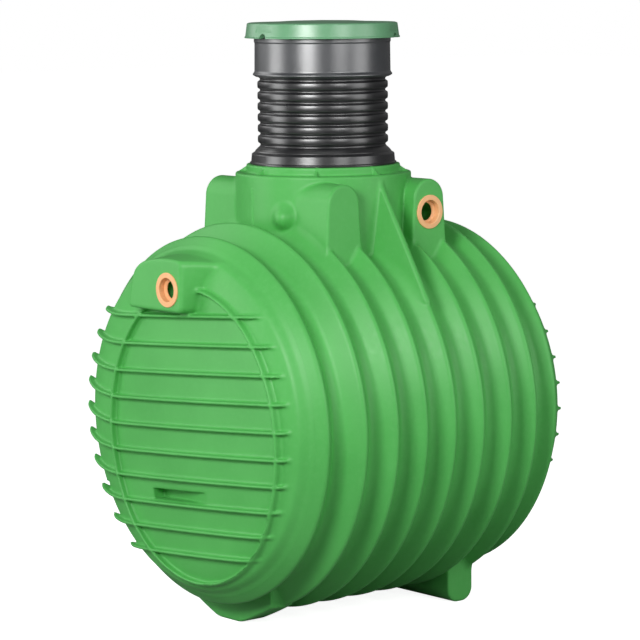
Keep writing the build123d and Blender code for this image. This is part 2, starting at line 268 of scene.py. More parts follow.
def gridNodes(tree, along, around):
    grid = tree.nodes.new("GeometryNodeMeshGrid")
    tree.links.new(along, grid.inputs["Vertices X"])
    tree.links.new(around, grid.inputs["Vertices Y"])
    grid.inputs["Size X"].default_value = 1
    grid.inputs["Size Y"].default_value = 1
    split = tree.nodes.new("ShaderNodeSeparateXYZ")
    place = tree.nodes.new("GeometryNodeInputPosition")
    tree.links.new(place.outputs[0], split.inputs[0])
    u = mathNode(tree, "ADD", split.outputs[0], 0.5)
    v = mathNode(tree, "ADD", split.outputs[1], 0.5)
    return grid.outputs["Mesh"], u, mathNode(tree, "MULTIPLY", v, math.tau)


weldReach = 0.00002


def placed(tree, geometry, position):
    move = tree.nodes.new("GeometryNodeSetPosition")
    weld = tree.nodes.new("GeometryNodeMergeByDistance")
    weld.inputs["Distance"].default_value = weldReach
    tree.links.new(geometry, move.inputs["Geometry"])
    tree.links.new(position, move.inputs["Position"])
    tree.links.new(move.outputs[0], weld.inputs["Geometry"])
    return weld.outputs[0]


# Ribbed barrel

rings = {
    "pitch": 0.166,
    "middleCrest": 0.8745,
    "secondCrest": 0.862,
    "endCrest": 0.808,
    "crestRound": 0.016,
    "valleyRound": 0.045,
    "flankAngle": math.radians(52),
    "endValleySide": 0.735,
    "endValleyRadius": 0.754,
    "endValleyRound": 0.034,
    "shoulderRadius": 0.772,
    "reach": 0.850,
}
wallGrid = {"along": 300, "around": 240}
sampleGrid = {"along": 3401, "around": 5}  # a thin strip, read for the profile
# the corners are counted in half pitches from the middle, the rings in whole ones
ringSteps = {"end": 10, "endValley": 9, "secondRing": 3, "near": 0.1, "bendPoints": 24}


def barrelTree(look):
    tree, put = newTree("ribbedBarrel", {**look, **wallGrid})
    lean = put["flankAngle"]
    lift = mathNode(tree, "SUBTRACT", mathNode(tree, "DIVIDE", 1, mathNode(tree, "COSINE", lean)), 1)
    rounds = mathNode(tree, "ADD", put["crestRound"], put["valleyRound"])
    half = mathNode(tree, "MULTIPLY", put["pitch"], 0.5)
    drop = mathNode(tree, "SUBTRACT", mathNode(tree, "MULTIPLY", half, mathNode(tree, "TANGENT", lean)),
                    mathNode(tree, "MULTIPLY", rounds, lift))
    line = tree.nodes.new("GeometryNodeMeshLine")
    line.inputs["Count"].default_value = 2 * ringSteps["end"] + 1
    index = tree.nodes.new("GeometryNodeInputIndex").outputs[0]
    step = mathNode(tree, "SUBTRACT", index, ringSteps["end"])
    count = mathNode(tree, "ABSOLUTE", step)

    def crestOf(ring):
        second = mathNode(tree, "COMPARE", ring, ringSteps["secondRing"], ringSteps["near"])
        last = mathNode(tree, "GREATER_THAN", ring, ringSteps["secondRing"] + 0.5)
        height = put["middleCrest"]
        for chosen, crest in ((second, "secondCrest"), (last, "endCrest")):
            fall = mathNode(tree, "SUBTRACT", put["middleCrest"], put[crest])
            height = mathNode(tree, "SUBTRACT", height, mathNode(tree, "MULTIPLY", chosen, fall))
        return height

    halves = mathNode(tree, "MULTIPLY", count, 0.5)
    inner = crestOf(mathNode(tree, "FLOOR", halves))
    outer = crestOf(mathNode(tree, "CEIL", halves))
    mean = mathNode(tree, "MULTIPLY", mathNode(tree, "ADD", inner, outer), 0.5)
    isValley = mathNode(tree, "MODULO", count, 2)
    isCrest = mathNode(tree, "SUBTRACT", 1, isValley)
    up = mathNode(tree, "MULTIPLY", isCrest, mathNode(tree, "MULTIPLY", put["crestRound"], lift))
    valleyFall = mathNode(tree, "ADD", drop, mathNode(tree, "MULTIPLY", put["valleyRound"], lift))
    down = mathNode(tree, "MULTIPLY", isValley, valleyFall)
    radius = mathNode(tree, "SUBTRACT", mathNode(tree, "ADD", mean, up), down)
    rounding = mathNode(tree, "ADD", mathNode(tree, "MULTIPLY", isCrest, put["crestRound"]),
                        mathNode(tree, "MULTIPLY", isValley, put["valleyRound"]))
    x = mathNode(tree, "MULTIPLY", count, half)

    def instead(value, other, at):
        here = mathNode(tree, "COMPARE", count, at, ringSteps["near"])
        return mathNode(tree, "ADD", mathNode(tree, "MULTIPLY", value, mathNode(tree, "SUBTRACT", 1, here)),
                        mathNode(tree, "MULTIPLY", other, here))

    valleyAt, endAt = ringSteps["endValley"], ringSteps["end"]
    x = instead(instead(x, put["endValleySide"], valleyAt), put["reach"], endAt)
    radius = instead(instead(radius, put["endValleyRadius"], valleyAt), put["shoulderRadius"], endAt)
    rounding = instead(instead(rounding, put["endValleyRound"], valleyAt), 0, endAt)
    corner = combine(tree, mathNode(tree, "MULTIPLY", x, mathNode(tree, "SIGN", step)), radius, 0)
    move = tree.nodes.new("GeometryNodeSetPosition")
    tree.links.new(line.outputs[0], move.inputs["Geometry"])
    tree.links.new(corner, move.inputs["Position"])
    curve = tree.nodes.new("GeometryNodeMeshToCurve")
    tree.links.new(move.outputs[0], curve.inputs[0])
    fillet = tree.nodes.new("GeometryNodeFilletCurve")
    fillet.mode = "POLY"
    fillet.inputs["Count"].default_value = ringSteps["bendPoints"]
    fillet.inputs["Limit Radius"].default_value = True
    tree.links.new(curve.outputs[0], fillet.inputs["Curve"])
    tree.links.new(rounding, fillet.inputs["Radius"])
    mesh, u, angle = gridNodes(tree, put["along"], put["around"])
    sample = tree.nodes.new("GeometryNodeSampleCurve")
    sample.mode = "FACTOR"
    tree.links.new(fillet.outputs[0], sample.inputs["Curves"])
    tree.links.new(u, sample.inputs["Factor"])
    split = tree.nodes.new("ShaderNodeSeparateXYZ")
    tree.links.new(sample.outputs["Position"], split.inputs[0])
    position = combine(tree, split.outputs[0], *aboutAxis(tree, split.outputs[1], angle))
    closeTree(tree, placed(tree, mesh, position), tankGreen)
    return tree


def vertexArray(piece):
    points = np.empty(len(piece.data.vertices) * 3)
    piece.data.vertices.foreach_get("co", points)
    return points.reshape(-1, 3)


ringRule = barrelTree(rings)
thin = grown(ringRule, "profileSample", {**rings, **sampleGrid})
points = vertexArray(thin)
order = np.argsort(points[:, 0])
profileSide = points[order, 0]
profileRadius = np.hypot(points[order, 1], points[order, 2])
smallestStep = 1e-5
keep = np.concatenate(([True], np.diff(profileSide) > smallestStep))
profileSide, profileRadius = profileSide[keep], profileRadius[keep]
profileSlope = np.gradient(profileRadius, profileSide)
bpy.data.objects.remove(thin)
print("ring rule ready", len(profileSide), float(profileRadius.max()), float(profileRadius.min()))


# Moulded forms as distances, in metres about the barrel's axis

tiny = 1e-6  # keeps a divisor above zero


def joinRound(a, b, r):  # both forms, with a rounded inner corner
    return np.maximum(r, np.minimum(a, b)) - np.hypot(np.maximum(r - a, 0), np.maximum(r - b, 0))


def meetRound(a, b, r):  # what two forms share, with a rounded edge
    return -joinRound(-a, -b, r)


def beyondLine(y, z, start, end):
    (fromY, fromZ), (toY, toZ) = start, end
    across = (y - fromY) * (toZ - fromZ) - (z - fromZ) * (toY - fromY)
    return across / math.hypot(toZ - fromZ, toY - fromY)


def flipOf(y):  # the back repeats the front after a half turn
    return np.where(y > 0, -1.0, 1.0)


def barrelField(x, y, z):
    slope = np.interp(x, profileSide, profileSlope)
    return (np.hypot(y, z) - np.interp(x, profileSide, profileRadius)) / np.sqrt(1 + slope * slope)


grille = {
    "centre": 0.822, "drop": 0.040, "edge": 0.750, "knuckleStart": 0.590, "knuckle": 0.42,
    "knuckleShare": 0.95, "plateScale": 0.97, "shoulderRound": 0.034, "height": 0.030, "half": 0.0058,
    "count": 10, "top": 0.475, "gap": 0.125, "gapChange": 0.002, "slope": math.radians(4.2), "shift": 0.040,
    "full": 0.724, "fade": 0.764,
    "bend": 0.034, "bendStart": 0.42, "bendLength": 0.25, "ovalWidth": 0.575, "ovalHeight": 0.650,
    "ovalSide": -0.065, "ovalMiddle": -0.051, "ovalHalf": 0.0066, "crestRound": 0.012, "edgeRound": 0.0045,
    "rootFlare": 0.06, "rootDepth": 0.05, "crossing": 0.006, "blend": 0.010,
}


def domeSide(r):
    g = grille
    k = np.clip(r - g["knuckleStart"], 0, g["knuckle"] * g["knuckleShare"])
    bowed = g["centre"] - g["drop"] * (r / g["edge"]) ** 2
    return bowed - g["knuckle"] + np.sqrt(g["knuckle"] ** 2 - k * k)


def grilleField(a, y, z, full):
    g = grille
    reach = np.hypot(y - g["shift"], z)
    crest = a - (domeSide(np.hypot(y, z)) + g["height"])
    fallSide = float(domeSide(full)) + g["height"] - rings["endValleySide"]
    fallOut = g["fade"] - g["full"]
    slant = (a - rings["endValleySide"] - fallSide) * fallOut + (reach - full) * fallSide
    layer = meetRound(crest, slant / math.hypot(fallSide, fallOut), g["crestRound"])
    layer = np.maximum(layer, rings["endValleySide"] - a)
    lifted = np.clip(y - g["bendStart"], 0, 1) / g["bendLength"]
    z = z - g["bend"] * lifted * lifted
    level = z * math.cos(g["slope"]) + y * math.sin(g["slope"])
    near = np.full_like(level, 1.0)
    for index in range(g["count"]):
        height = g["top"] - index * g["gap"] + index * (index - 1) / 2 * g["gapChange"]
        near = np.minimum(near, np.abs(level - height * math.cos(g["slope"])))
    root = g["rootFlare"] * np.clip(-crest, 0, g["rootDepth"])
    ribs = meetRound(near - g["half"] - root, layer, g["edgeRound"])
    u, v = (y - g["ovalSide"]) / g["ovalWidth"], (z - g["ovalMiddle"]) / g["ovalHeight"]
    size = np.hypot(u, v) + tiny
    steep = np.hypot(u / g["ovalWidth"], v / g["ovalHeight"]) / size + tiny
    oval = meetRound(np.abs(size - 1) / steep - g["ovalHalf"] - root, layer, g["edgeRound"])
    return joinRound(ribs, oval, g["crossing"])


endBoss = {
    "face": 0.886, "base": 0.774, "deepest": 1.3, "right": 0.094, "baseRight": 0.205, "rightScale": 0.80,
    "left": 0.291, "leftLean": 0.029, "cornerAcross": 0.789, "cornerUp": 0.614, "bottom": 0.498,
    "top": 0.728, "riseRange": (-0.1, 1.2), "shoulder": 0.640, "spread": 0.011, "round": 0.026,
    "edge": 0.013, "blend": 0.016, "portHeight": 0.594, "portRadius": 0.0622,
}


def endBossField(a, y, z, reach):
    b = endBoss
    t = np.clip((b["face"] - a) / (b["face"] - b["base"]), 0, b["deepest"])
    rise = np.clip((z - b["bottom"]) / (b["top"] - b["bottom"]), *b["riseRange"])
    right = -b["right"] - t * (b["spread"] + rise * (b["baseRight"] - b["right"] - b["spread"]))
    dRight = (right - y) * b["rightScale"]
    lean = b["leftLean"] * np.clip((z - b["bottom"]) / (b["shoulder"] - b["bottom"]), 0, 1)
    dLeft = y - (reach - lean + t * b["spread"])
    corner = y - reach + b["leftLean"] - t * b["spread"]
    dCorner = corner * b["cornerAcross"] + (z - b["shoulder"]) * b["cornerUp"]
    dTop = np.hypot(y, z) - b["top"] - t * b["spread"]
    dBottom = b["bottom"] - t * b["spread"] - z
    outline = meetRound(meetRound(dLeft, dCorner, b["round"]), dTop, b["round"])
    outline = meetRound(meetRound(outline, dRight, b["round"]), dBottom, b["round"])
    return meetRound(outline, a - b["face"], b["edge"])


slots = {
    "height": -0.321, "half": 0.024, "middle": 0.030, "reach": 0.195, "depth": 0.060, "smallSide": 0.640,
    "smallReach": 0.026, "edge": 0.005,
}


def slotField(a, y, z):
    s, c = math.sin(grille["slope"]), math.cos(grille["slope"])
    across = np.abs((z - slots["height"]) * c + y * s) - slots["half"]
    along = y * c - (z - slots["height"]) * s
    ramp = np.clip((slots["middle"] + slots["reach"] - along) / (2 * slots["reach"]), 0, 1)
    face = domeSide(np.hypot(y, z))
    floor = face - slots["depth"] * (1 - ramp * ramp) - a
    long = np.maximum(np.maximum(across, np.abs(along - slots["middle"]) - slots["reach"]), floor)
    smallFloor = face - slots["depth"] / 2 - a
    small = np.maximum(across, np.abs(along - slots["smallSide"]) - slots["smallReach"])
    return np.minimum(long, np.maximum(small, smallFloor))


def endField(x, y, z, full=grille["full"], reachLeft=endBoss["left"]):
    g = grille
    a = -x
    reach = np.hypot(y, z)
    plate = (a - domeSide(reach)) * g["plateScale"]
    form = meetRound(barrelField(x, y, z), plate, g["shoulderRound"])
    form = meetRound(form, -slotField(a, y, z), slots["edge"])
    form = joinRound(form, grilleField(a, y, z, full), g["blend"])
    form = joinRound(form, endBossField(a, y, z, reachLeft), endBoss["blend"])
    port = np.hypot(y, z - endBoss["portHeight"]) - endBoss["portRadius"]
    return np.maximum(form, -port)


neck = {
    "radius": 0.395, "top": 1.064, "edge": 0.008, "blend": 0.012,
    "shoulderRadius": 0.345, "shoulderTop": 1.100, "shoulderEdge": 0.005, "shoulderBlend": 0.006,
    "webs": 8, "webHalf": 0.0068, "webDrop": 0.010, "webRise": 0.026, "webRun": 0.040, "webLength": 0.0477,
    "webEdge": 0.004, "webInset": 0.006, "webBlend": 0.005,
    "partingSide": 0.021, "partingHalf": 0.0045, "partingTop": 1.003, "partingOut": 0.006,
    "partingBlend": 0.003,
    "bossSide": 0.249, "bossFace": 0.435, "bossTop": 1.038, "bossRound": 0.088, "bossHalf": 0.110,
    "bossFoot": 0.640, "bossEdge": 0.010, "bossBlend": 0.010, "portHeight": 0.891, "portEnd": 0.31,
    "noseRadius": 0.046, "noseHeight": 0.884, "noseSide": 0.165, "noseReach": 0.362, "noseBlend": 0.034,
    "gussetHalf": 0.012, "gussetFlare": 0.26, "gussetDepth": 0.3, "gussetEdge": 0.008, "gussetBlend": 0.012,
    "gussetHead": (-0.386, 1.045), "gussetTail": (-0.712, 0.520), "headRound": 0.008, "tailRound": 0.02,
}


def neckBody(x, y, z):
    n = neck
    side = np.hypot(x, y)
    form = meetRound(side - n["radius"], z - n["top"], n["edge"])
    shoulder = meetRound(side - n["shoulderRadius"], z - n["shoulderTop"], n["shoulderEdge"])
    turn = math.tau / n["webs"]
    angle = np.arctan2(y, x)
    web = np.abs(side * np.sin(angle - np.round(angle / turn) * turn)) - n["webHalf"]
    above = z - n["shoulderTop"] + n["webDrop"]
    webTop = (side - n["shoulderRadius"]) * n["webRise"] + above * n["webRun"]
    webs = meetRound(web, webTop / n["webLength"], n["webEdge"])
    webs = np.maximum(webs, side - n["radius"] + n["webInset"])
    form = joinRound(joinRound(form, shoulder, n["shoulderBlend"]), webs, n["webBlend"])
    across = np.abs(-np.sign(x) * y - n["partingSide"]) - n["partingHalf"]
    parting = np.maximum(np.maximum(across, side - n["radius"] - n["partingOut"]), z - n["partingTop"])
    return joinRound(form, parting, n["partingBlend"])


def neckSides(x, y, z):
    n = neck
    flip = flipOf(y)
    x, y = x * flip, y * flip
    spring = n["bossTop"] - n["bossRound"]
    offset = np.abs(np.abs(x) - n["bossSide"])
    taper = (n["bossHalf"] - n["bossRound"]) / (spring - n["bossFoot"])
    flank = offset - n["bossRound"] - np.maximum(spring - z, 0) * taper
    arch = np.where(z > spring, np.hypot(offset, z - spring) - n["bossRound"], flank)
    boss = meetRound(arch, -y - n["bossFace"], n["bossEdge"])
    boss = np.maximum(boss, n["bossFoot"] - z)
    along = np.clip(x, -n["noseReach"], -n["bossSide"])
    away = np.sqrt((x - along) ** 2 + (y + n["noseSide"]) ** 2 + (z - n["noseHeight"]) ** 2)
    ridge = beyondLine(y, z, n["gussetHead"], n["gussetTail"])
    half = n["gussetHalf"] + n["gussetFlare"] * np.clip(-ridge, 0, n["gussetDepth"])
    gusset = meetRound(np.abs(x) - half, ridge, n["gussetEdge"])
    gusset = meetRound(gusset, n["gussetTail"][1] - z, n["tailRound"])
    gusset = meetRound(gusset, z - n["gussetHead"][1], n["headRound"])
    return boss, gusset, away - n["noseRadius"]


def crownFeature(x, y, z):
    boss, gusset, nose = neckSides(x, y, z)
    form = joinRound(neckBody(x, y, z), nose, neck["noseBlend"])
    form = joinRound(form, boss, neck["bossBlend"])
    return joinRound(form, gusset, neck["gussetBlend"])


def crownField(x, y, z):
    form = joinRound(crownFeature(x, y, z), barrelField(x, y, z), neck["blend"])
    flip = flipOf(y)
    port = np.hypot(x * flip - neck["bossSide"], z - neck["portHeight"]) - endBoss["portRadius"]
    port = np.maximum(port, y * flip + neck["portEnd"])
    return np.maximum(form, -port)


feet = {
    "padSide": -0.508, "padHalf": 0.062, "padWidth": 0.087, "padShoulder": (0.165, -0.882),
    "padTangent": (0.300, -0.808), "padRound": 0.03, "padEdge": 0.012, "beamSide": 0.447, "beamHalf": 0.075,
    "beamLength": 0.420, "beamRound": 0.062, "beamEdge": 0.010, "floor": -0.908, "blend": 0.024,
}


def footFeature(x, y, z):
    f = feet
    low = f["floor"] - z
    out = np.abs(y)
    first = beyondLine(out, z, (f["padWidth"], f["floor"]), f["padShoulder"])
    second = beyondLine(out, z, f["padShoulder"], f["padTangent"])
    pad = meetRound(meetRound(first, second, f["padRound"]), low, f["padEdge"])
    pad = meetRound(pad, np.abs(x - f["padSide"]) - f["padHalf"], f["padEdge"])
    pad = np.maximum(pad, out - f["padTangent"][0])
    beam = meetRound(np.abs(x - f["beamSide"]) - f["beamHalf"], low, f["beamRound"])
    beam = meetRound(beam, out - f["beamLength"], f["beamEdge"])
    return np.minimum(pad, beam)


def footField(x, y, z):
    return joinRound(footFeature(x, y, z), barrelField(x, y, z), feet["blend"])


def netSurface(field, low, high, step):  # quads where the field is zero, one corner for each crossed cell
    axes = [l + step * np.arange(int(round((h - l) / step)) + 1) for l, h in zip(low, high)]
    value = np.empty([len(a) for a in axes], dtype=np.float32)
    for i, x in enumerate(axes[0]):
        y, z = np.meshgrid(axes[1], axes[2], indexing="ij")
        value[i] = field(np.full_like(y, x), y, z)
    inside = value < 0
    total = np.zeros([n - 1 for n in value.shape], dtype=np.uint8)
    for i in (0, 1):
        for j in (0, 1):
            for k in (0, 1):
                total += inside[i:total.shape[0] + i, j:total.shape[1] + j, k:total.shape[2] + k]
    cells = np.argwhere((total > 0) & (total < 8))
    number = np.full(total.shape, -1)
    number[tuple(cells.T)] = np.arange(len(cells))
    place = np.zeros((len(cells), 3))
    hits = np.zeros(len(cells))
    for axis in range(3):
        others = [n for n in range(3) if n != axis]
        for i in (0, 1):
            for j in (0, 1):
                shift = np.zeros(3, int)
                shift[others[0]], shift[others[1]] = i, j
                start = cells + shift
                end = start.copy()
                end[:, axis] += 1
                v0, v1 = value[tuple(start.T)], value[tuple(end.T)]
                crossed = (v0 < 0) != (v1 < 0)
                t = np.where(crossed, v0 / np.where(crossed, v0 - v1, 1), 0)
                spot = np.repeat(shift[None].astype(float), len(cells), 0)
                spot[:, axis] = t
                place += spot * crossed[:, None]
                hits += crossed
    verts = np.array(low) + (cells + place / np.maximum(hits, 1)[:, None]) * step
    quads = []
    for axis in range(3):
        b, c = (axis + 1) % 3, (axis + 2) % 3
        order = [axis, b, c]
        solid = inside.transpose(order)
        cell = number.transpose(order)
        flips = solid[:-1, 1:-1, 1:-1] != solid[1:, 1:-1, 1:-1]
        i, j, k = np.nonzero(flips)
        ring = np.stack([cell[i, j, k], cell[i, j + 1, k], cell[i, j + 1, k + 1], cell[i, j, k + 1]], 1)
        outward = solid[i, j + 1, k + 1]
        quads.append(np.where(outward[:, None], ring, ring[:, ::-1]))
    return verts, np.concatenate(quads)


settling = {"probe": 0.0003, "leastSlope": 0.05, "share": 0.7, "rounds": 4, "leastMove": 1e-9}


def settled(verts, field, reach):  # moves each corner onto the form itself
    e = settling["probe"]
    for _ in range(settling["rounds"]):
        x, y, z = verts.T
        d = field(x, y, z)
        slope = np.stack([field(x + e, y, z) - field(x - e, y, z), field(x, y + e, z) - field(x, y - e, z),
                          field(x, y, z + e) - field(x, y, z - e)], 1) / (2 * e)
        size = np.maximum((slope ** 2).sum(1), settling["leastSlope"])
        move = -slope * (d / size)[:, None]
        length = np.maximum(np.linalg.norm(move, axis=1), settling["leastMove"])
        verts = verts + move * np.minimum(1, reach / length)[:, None]
    return verts


coarse = 1.0


def mouldedPiece(name, field, look, feature=None, reach=0.0):
    step = look["step"] * coarse
    verts, quads = netSurface(field, look["low"], look["high"], step)
    verts = settled(verts, field, step * settling["share"])
    if feature is not None:  # only what stands out of the barrel, and its blend
        near = feature(*verts.T) < reach
        quads = quads[near[quads].all(1)]
    used, inverse = np.unique(quads, return_inverse=True)
    verts = verts[used]
    verts[:, 2] += axisHeight
    return meshObject(name, verts.tolist(), inverse.reshape(-1, 4).tolist(), tankGreen)


patches = {
    "endLimit": 0.702, "endOverlap": 0.012, "crownReach": 0.050, "footReach": 0.045, "crownFloor": 0.47,
    "footCeiling": -0.61, "tuck": 0.03, "tuckMost": 0.002, "buried": 0.034,
}
frontLook = {"low": (-0.905, -0.83, -0.80), "high": (-0.695, 0.83, 0.80), "step": 0.0068}
rearLook = {
    "low": (0.695, -0.83, -0.80), "high": (0.905, 0.83, 0.80), "step": 0.0075, "full": 0.674,
    "bossLeft": 0.205,
}


def rearField(x, y, z):
    return endField(-x, -y, z, rearLook["full"], rearLook["bossLeft"])


frontEnd = mouldedPiece("frontEnd", endField, frontLook)
rearEnd = mouldedPiece("rearEnd", rearField, rearLook)
dressed(frontEnd, "green_tank", "front_end", "front_end_ribs", "front_port_boss")
dressed(rearEnd, "green_tank", "rear_end", "rear_end_ribs", "rear_port_boss")

crownLook = {"low": (-0.54, -0.80, 0.46), "high": (0.54, 0.80, 1.112), "step": 0.0062}
crown = mouldedPiece("neckCrown", crownField, crownLook, crownFeature, patches["crownReach"])
dressed(crown, "green_tank", "neck_wall_1", "neck_wall_2", "neck_wall_3", "neck_wall_4", "neck_shoulder",
        "blank_boss_front", "blank_boss_back", "port_boss_front", "port_boss_back",
        "conduit_nose_front", "conduit_nose_back", "gusset_front", "gusset_back",
        "parting_rib_right", "parting_rib_left")

footingLook = {"low": (-0.66, -0.52, -0.92), "high": (0.60, 0.52, -0.60), "step": 0.0065}
footing = mouldedPiece("footing", footField, footingLook, footFeature, patches["footReach"])
dressed(footing, "green_tank", "front_foot_pad", "rear_foot_beam")

# the barrel's wall is tucked under the moulded pieces and cut away where they hide it
barrel = grown(ringRule, "ribbedBarrel", {**rings, **wallGrid})
verts = vertexArray(barrel)
x, y, z = verts.T
crownDepth = np.where(z > patches["crownFloor"], crownFeature(x, y, z) - patches["crownReach"], 1)
footDepth = np.where(z < patches["footCeiling"], footFeature(x, y, z) - patches["footReach"], 1)
depth = np.minimum(np.minimum(crownDepth, footDepth), patches["endLimit"] - np.abs(x))
tuck = np.clip(-depth * patches["tuck"], 0, patches["tuckMost"])
side = np.hypot(y, z)
buried = depth < -patches["buried"]
beyond = np.abs(x) > patches["endLimit"] + patches["endOverlap"]
verts[:, 1:] *= ((side - tuck) / side)[:, None]
verts[:, 2] += axisHeight
barrel.data.vertices.foreach_set("co", verts.ravel())
shape = bmesh.new()
shape.from_mesh(barrel.data)
gone = [v for v, hidden in zip(shape.verts, buried | beyond) if hidden]
bmesh.ops.delete(shape, geom=gone, context="VERTS")
shape.to_mesh(barrel.data)
shape.free()
barrel.data.update()
dressed(barrel, "green_tank", *["barrel_segment_%d" % n for n in range(1, 9)])
print("moulding made")


# Turned pieces; a corner is its radius, its height above the barrel's axis and its rounding

bends = {"steps": 6, "longest": 0.45, "lead": 1.08}


def roundedPath(corners):
    path = []
    for index, (r, z, bend) in enumerate(corners):
        here = Vector((r, z))
        before = Vector(corners[index - 1][:2]) - here
        after = Vector(corners[(index + 1) % len(corners)][:2]) - here
        if bend <= 0:
            path.append(here)
            continue
        into, out = before.normalized(), after.normalized()
        half = into.angle(out) / 2
        reach = min(bend / math.tan(half), bends["longest"] * before.length,
                    bends["longest"] * after.length)
        centre = here + (into + out).normalized() * reach / math.cos(half)
        first, last = here + into * reach - centre, here + out * reach - centre
        start = math.atan2(first.y, first.x)
        sweep = (math.atan2(last.y, last.x) - start + math.pi) % math.tau - math.pi
        path.append(here + into * reach * bends["lead"])
        for step in range(bends["steps"] + 1):
            angle = start + sweep * step / bends["steps"]
            path.append(centre + first.length * Vector((math.cos(angle), math.sin(angle))))
        path.append(here + out * reach * bends["lead"])
    return path


def turned(name, look, material, base=axisHeight):
    turns = look["turns"]
    verts, rows = [], []
    for r, z in roundedPath([(r, base + z, bend) for r, z, bend in look["corners"]]):
        if r < tiny:
            rows.append([len(verts)] * turns)
            verts.append((0, 0, z))
        else:
            rows.append(list(range(len(verts), len(verts) + turns)))
            angles = [math.tau * k / turns for k in range(turns)]
            verts += [(r * math.cos(angle), r * math.sin(angle), z) for angle in angles]
    faces = []
    for one, two in zip(rows, rows[1:] + rows[:1]):
        for k in range(turns):
            corner = (one[k], one[(k + 1) % turns], two[(k + 1) % turns], two[k])
            face = tuple(dict.fromkeys(corner))
            if len(face) > 2:
                faces.append(face)
    piece = meshObject(name, verts, faces, material)
    outwardFaces(piece)
    return piece


riser = {
    "low": 1.182, "high": 1.646, "bore": 0.276, "valley": 0.2815, "depth": 0.0115, "pitch": 0.0487,
    "firstCrest": 1.211, "crestShare": 0.50, "valleyShare": 0.92, "fall": 0.34,
}
riserGrid = {"along": 301, "around": 128}
# shares of the way up the outside and back down the bore
riserShares = {"outerEnd": 0.88, "turnBack": 0.889, "innerStart": 0.90, "innerEnd": 0.97}


def riserTree(look):
    tree, put = newTree("corrugatedRiser", {**look, **riserGrid, "base": axisHeight})
    outerEnd, turnBack, innerStart, innerEnd = riserShares.values()

    def spread(value, low, high, toLow, toHigh, smooth=False):
        node = tree.nodes.new("ShaderNodeMapRange")
        if smooth:
            node.interpolation_type = "SMOOTHSTEP"
        fillInputs(tree, node, (value, low, high, toLow, toHigh))
        return node.outputs["Result"]

    mesh, u, angle = gridNodes(tree, put["along"], put["around"])
    outerZ = spread(u, 0, outerEnd, put["low"], put["high"])
    innerZ = spread(u, innerStart, innerEnd, put["high"], put["low"])
    back = mathNode(tree, "GREATER_THAN", u, turnBack)
    ahead = mathNode(tree, "SUBTRACT", 1, back)
    z = mathNode(tree, "ADD", mathNode(tree, "MULTIPLY", outerZ, ahead),
                 mathNode(tree, "MULTIPLY", innerZ, back))
    turnsUp = mathNode(tree, "DIVIDE", mathNode(tree, "SUBTRACT", z, put["firstCrest"]), put["pitch"])
    wave = mathNode(tree, "FRACT", mathNode(tree, "ADD", turnsUp, 0.5))
    away = mathNode(tree, "ABSOLUTE", mathNode(tree, "SUBTRACT", wave, 0.5))
    away = mathNode(tree, "MULTIPLY", away, 2)
    crest = spread(away, put["crestShare"], put["valleyShare"], 1, 0, True)
    crown = mathNode(tree, "MULTIPLY", mathNode(tree, "MULTIPLY", away, away), put["fall"])
    height = mathNode(tree, "MULTIPLY", mathNode(tree, "SUBTRACT", 1, crown), crest)
    outer = mathNode(tree, "ADD", put["valley"], mathNode(tree, "MULTIPLY", height, put["depth"]))
    inward = mathNode(tree, "MULTIPLY", spread(u, outerEnd, innerStart, 0, 1),
                      spread(u, innerEnd, 1.0, 1, 0))
    radius = mathNode(tree, "ADD", mathNode(tree, "MULTIPLY", outer, mathNode(tree, "SUBTRACT", 1, inward)),
                      mathNode(tree, "MULTIPLY", put["bore"], inward))
    position = combine(tree, *aboutAxis(tree, radius, angle), mathNode(tree, "ADD", z, put["base"]))
    closeTree(tree, placed(tree, mesh, position), pipeBlack)
    return tree


riserWall = grown(riserTree(riser), "riserWall", riser)
outwardFaces(riserWall)
dressed(riserWall, "black_pipe", "riser_wall_1", "riser_wall_2", "riser_wall_3", "riser_wall_4")

footLook = {
    "turns": 160,
    "corners": [
        (0.276, 1.1003, 0), (0.329, 1.1003, 0.002), (0.3295, 1.1085, 0.002), (0.3235, 1.1110, 0.002),
        (0.3205, 1.146, 0.005), (0.3060, 1.1555, 0.003), (0.3045, 1.1600, 0.002), (0.2960, 1.1690, 0.003),
        (0.2820, 1.1818, 0.002), (0.276, 1.1818, 0),
    ],
}
riserFoot = turned("riserFoot", footLook, pipeBlack)
dressed(riserFoot, "black_pipe", "riser_foot")

collarLook = {
    "turns": 192,
    "corners": [
        (0.2937, 1.490, 0.001), (0.2990, 1.490, 0.002), (0.3125, 1.4975, 0.0025), (0.3125, 1.503, 0.002),
        (0.3050, 1.513, 0.012), (0.3035, 1.640, 0.003), (0.3065, 1.646, 0.002), (0.3065, 1.6615, 0.0015),
        (0.276, 1.6615, 0.001), (0.276, 1.6495, 0.0005), (0.2937, 1.6495, 0.0005),
    ],
}
collarPiece = turned("collarSleeve", collarLook, collarGrey)
dressed(collarPiece, "grey_collar", "collar")

lidLook = {
    "turns": 224,
    "corners": [
        (0, 1.6725, 0), (0.308, 1.6725, 0.003), (0.328, 1.6625, 0.002), (0.348, 1.6625, 0.0015),
        (0.348, 1.6680, 0.0015), (0.3445, 1.6705, 0.002), (0.3370, 1.7270, 0.006), (0.3250, 1.7315, 0.008),
        (0.3180, 1.7280, 0.004), (0.1500, 1.7370, 0.05), (0, 1.7400, 0),
    ],
    "notchRadius": 0.022, "notchLength": 0.080, "notchSide": 0.3350, "notchHeight": 1.6622,
    "notchTurns": (60, 180, 300), "notchSegments": 48, "panelSide": 0.3395, "panelThickness": 0.008,
    "panelWidth": 0.110, "panelLow": 1.690, "panelHigh": 1.716, "sharpFrom": math.radians(38),
}
lidShell = turned("lidShell", lidLook, lidGreen)


